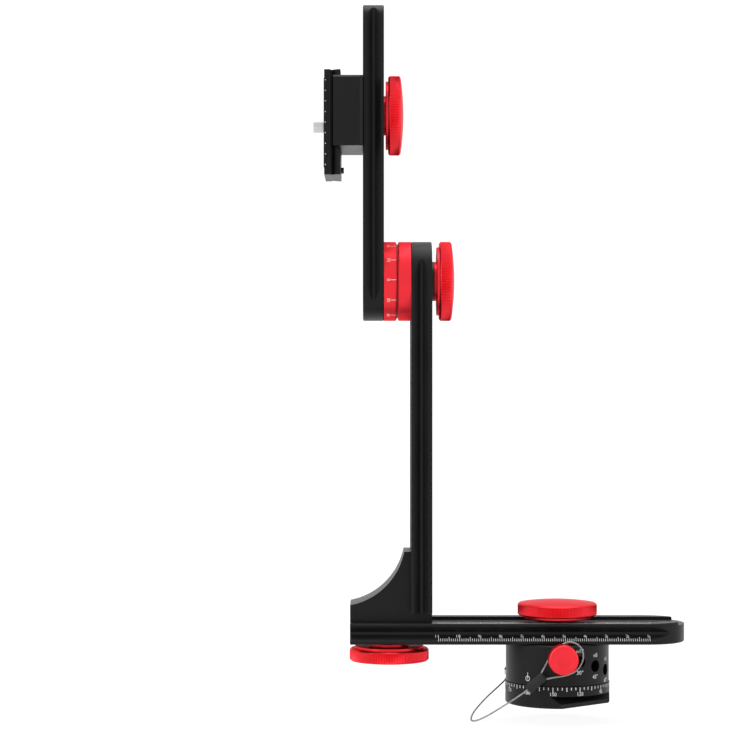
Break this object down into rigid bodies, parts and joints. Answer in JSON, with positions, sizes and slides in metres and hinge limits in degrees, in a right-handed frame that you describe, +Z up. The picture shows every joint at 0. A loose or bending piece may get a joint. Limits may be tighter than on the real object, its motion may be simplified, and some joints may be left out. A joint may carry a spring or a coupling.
{
  "type": "panoramic tripod head",
  "caption": "Multi-row panoramic tripod head: indexed rotator, slotted dovetail rails, standing arm, elevation pivot and a camera clamp with its plate.",
  "frame": {"origin": "mouth of the tripod thread, on the turning axis at the foot's underside", "axes": "+Z up along the turning axis; +X along the horizontal rail to its round end; the index plunger faces -Y"},
  "size_m": [0.1781, 0.0773, 0.3404],
  "materials": {
    "black_anodised": "bead-blasted, black anodised",
    "red_anodised": "fine-turned, bright red anodised",
    "black_steel": "black oxide steel",
    "bright_steel": "stainless steel",
    "wire_rope": "twisted stainless wire rope",
    "washer_polymer": "black acetal",
    "grip_rubber": "matt black rubber"
  },
  "bodies": {
    "foot": {"base_foot": "black_anodised", "thread_bush": "bright_steel", "detent_drum": "black_anodised", "drum_screws": "black_steel", "upper_thrust_washer": "washer_polymer", "lower_thrust_washer": "washer_polymer"},
    "turret": {"rotator_housing": "black_anodised", "retaining_ring": "black_anodised", "retainer_screws": "black_steel", "rail_keys": "black_steel", "rail_stud": "bright_steel", "rail_knob_washer": "washer_polymer", "plunger_sleeve": "black_steel", "plunger_spring": "bright_steel", "lanyard_anchor": "bright_steel", "lanyard_lead": "wire_rope", "lanyard_eye": "wire_rope", "lanyard_crimp": "black_anodised"},
    "plunger": {"plunger_knob": "red_anodised", "plunger_pin": "bright_steel"},
    "rail_knob": {"rail_lock_knob": "red_anodised"},
    "rail": {"horizontal_rail": "black_anodised"},
    "bracket": {"corner_bracket": "black_anodised", "bracket_stud": "bright_steel", "bracket_knob_washer": "washer_polymer", "vertical_arm": "black_anodised", "arm_screws": "black_steel", "fixed_pivot_ring": "red_anodised", "pivot_knob_washer": "washer_polymer"},
    "bracket_knob": {"bracket_lock_knob": "red_anodised"},
    "swing": {"upper_rail": "black_anodised", "scale_ring": "red_anodised", "scale_ring_screws": "black_steel", "pivot_bolt": "black_steel", "pivot_friction_washer": "washer_polymer"},
    "pivot_knob": {"pivot_lock_knob": "red_anodised"},
    "clamp": {"clamp_body": "black_anodised", "clamp_bolt": "black_steel", "clamp_knob_washer": "washer_polymer", "jaw_springs": "bright_steel"},
    "clamp_knob": {"clamp_lock_knob": "red_anodised"},
    "jaw": {"clamp_jaw": "black_anodised", "jaw_guide_pins": "bright_steel"},
    "jaw_turn": {"jaw_knob": "black_anodised", "jaw_screw": "bright_steel"},
    "plate": {"quick_release_plate": "black_anodised", "plate_stop_screws": "black_steel", "plate_pads": "grip_rubber"},
    "camera_bolt": {"camera_screw": "bright_steel"}
  },
  "joints": [
    {"name": "pan", "type": "hinge", "parent": "foot", "child": "turret", "pos_m": [0, 0, 0], "axis": [0, 0, 1], "continuous": true},
    {"name": "index_pull", "type": "slide", "parent": "turret", "child": "plunger", "axis": [0, -1, 0], "range_m": [0, 0.003], "stiffness_N_per_m": 800, "springref_m": -0.002, "deforming": ["plunger_spring"]},
    {"name": "rail_knob_turn", "type": "hinge", "parent": "turret", "child": "rail_knob", "pos_m": [0, 0, 0.0391], "axis": [0, 0, 1], "range_deg": [0, 720]},
    {"name": "rail_slide", "type": "slide", "parent": "turret", "child": "rail", "axis": [1, 0, 0], "range_m": [-0.035, 0.03]},
    {"name": "bracket_slide", "type": "slide", "parent": "rail", "child": "bracket", "axis": [-1, 0, 0], "range_m": [-0.03, 0.008]},
    {"name": "bracket_knob_turn", "type": "hinge", "parent": "bracket", "child": "bracket_knob", "pos_m": [-0.0808, 0, 0.0284], "axis": [0, 0, -1], "range_deg": [0, 720]},
    {"name": "elevation", "type": "hinge", "parent": "bracket", "child": "swing", "pos_m": [-0.0934, 0, 0.202], "axis": [1, 0, 0], "continuous": true},
    {"name": "pivot_knob_turn", "type": "hinge", "parent": "swing", "child": "pivot_knob", "pos_m": [-0.0594, 0, 0.202], "axis": [1, 0, 0], "range_deg": [0, 720]},
    {"name": "clamp_slide", "type": "slide", "parent": "swing", "child": "clamp", "axis": [0, 0, -1], "range_m": [-0.028, 0.038]},
    {"name": "clamp_knob_turn", "type": "hinge", "parent": "clamp", "child": "clamp_knob", "pos_m": [-0.0838, 0, 0.28165], "axis": [1, 0, 0], "range_deg": [0, 720]},
    {"name": "jaw_slide", "type": "slide", "parent": "clamp", "child": "jaw", "axis": [0, 1, 0], "range_m": [0, 0.004], "deforming": ["jaw_springs"]},
    {"name": "jaw_knob_turn", "type": "hinge", "parent": "jaw", "child": "jaw_turn", "pos_m": [-0.0986, 0.0243, 0.28165], "axis": [0, 1, 0], "range_deg": [0, 1800]},
    {"name": "plate_slide", "type": "slide", "parent": "clamp", "child": "plate", "axis": [0, 0, 1], "range_m": [0, 0.0073]},
    {"name": "camera_screw_turn", "type": "hinge", "parent": "plate", "child": "camera_bolt", "pos_m": [-0.1117, 0, 0.27665], "axis": [1, 0, 0], "continuous": true}
  ],
  "couplings": [
    {"joint": "jaw_knob_turn", "follows": "jaw_slide", "rad_per_m": 7854}
  ]
}
